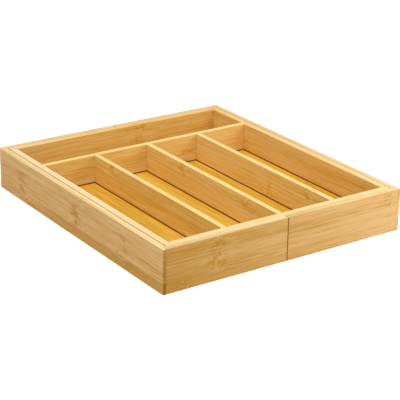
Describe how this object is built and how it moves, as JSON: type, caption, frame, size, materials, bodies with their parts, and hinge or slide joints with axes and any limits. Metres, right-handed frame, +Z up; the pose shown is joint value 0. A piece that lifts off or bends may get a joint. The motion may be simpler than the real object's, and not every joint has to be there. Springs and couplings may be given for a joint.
{
  "type": "cutlery tray",
  "caption": "Low bamboo cutlery tray with long compartments and a cross compartment, in a split frame that slides out to the left and right to widen it.",
  "frame": {"origin": "middle of the closed tray's footprint, on the surface it stands on", "axes": "+X to the right, along which the halves slide; +Y to the rear; +Z up"},
  "size_m": [0.33, 0.373, 0.052],
  "materials": {
    "bamboo_frame": "satin lacquer",
    "bamboo_tray": "satin lacquer",
    "bamboo_divider": "satin lacquer",
    "bamboo_panel": "satin lacquer",
    "bamboo_guide": "sanded, waxed"
  },
  "bodies": {
    "tray": {"tray_front_wall": "bamboo_tray", "tray_rear_wall": "bamboo_tray", "tray_left_wall": "bamboo_tray", "tray_right_wall": "bamboo_tray", "cross_divider": "bamboo_divider", "left_divider": "bamboo_divider", "middle_divider": "bamboo_divider", "right_divider": "bamboo_divider", "tray_floor": "bamboo_panel"},
    "left_frame": {"left_frame_side_wall": "bamboo_frame", "left_frame_front_wall": "bamboo_frame", "left_frame_rear_wall": "bamboo_frame", "left_frame_floor": "bamboo_panel", "left_front_guide": "bamboo_guide", "left_rear_guide": "bamboo_guide"},
    "right_frame": {"right_frame_side_wall": "bamboo_frame", "right_frame_front_wall": "bamboo_frame", "right_frame_rear_wall": "bamboo_frame", "right_frame_floor": "bamboo_panel", "right_front_guide": "bamboo_guide", "right_rear_guide": "bamboo_guide"}
  },
  "joints": [
    {"name": "left_frame_slide", "type": "slide", "parent": "tray", "child": "left_frame", "axis": [-1, 0, 0], "range_m": [0, 0.085]},
    {"name": "right_frame_slide", "type": "slide", "parent": "tray", "child": "right_frame", "axis": [1, 0, 0], "range_m": [0, 0.085]}
  ]
}
